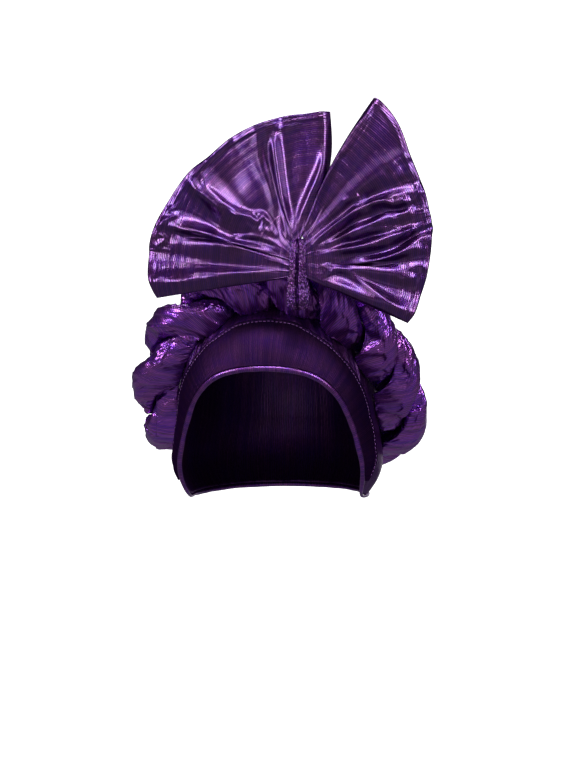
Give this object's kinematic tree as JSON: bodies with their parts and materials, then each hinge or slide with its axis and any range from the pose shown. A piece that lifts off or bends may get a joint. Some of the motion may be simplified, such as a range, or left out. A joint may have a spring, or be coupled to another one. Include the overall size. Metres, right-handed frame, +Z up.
{
  "type": "turban hat",
  "caption": "Ready-tied turban hat: close-fitting cloth crown with a forehead band, a twisted padded roll round it and a large pleated bow standing at the front.",
  "frame": {"origin": "inside the top of the crown, where the hat sits on a head", "axes": "+Z up, the front with the bow faces -Y, +X is the viewer's right seen from the front"},
  "size_m": [0.2403, 0.2388, 0.3031],
  "materials": {
    "ribbed_lame": "finely ribbed metallic purple cloth with a bright pink-lilac sheen on its folds",
    "gathered_lame": "the same cloth gathered tight, sparkling in small points",
    "hem_lame": "the same cloth rolled into a narrow hem, a little brighter along its crest"
  },
  "bodies": {
    "root": {"crown_cap": "ribbed_lame", "front_band": "ribbed_lame", "edge_hem": "hem_lame", "twist_strand_a": "ribbed_lame", "twist_strand_b": "ribbed_lame", "bow_wing_left": "ribbed_lame", "bow_wing_right": "ribbed_lame", "bow_knot": "gathered_lame"}
  },
  "joints": []
}
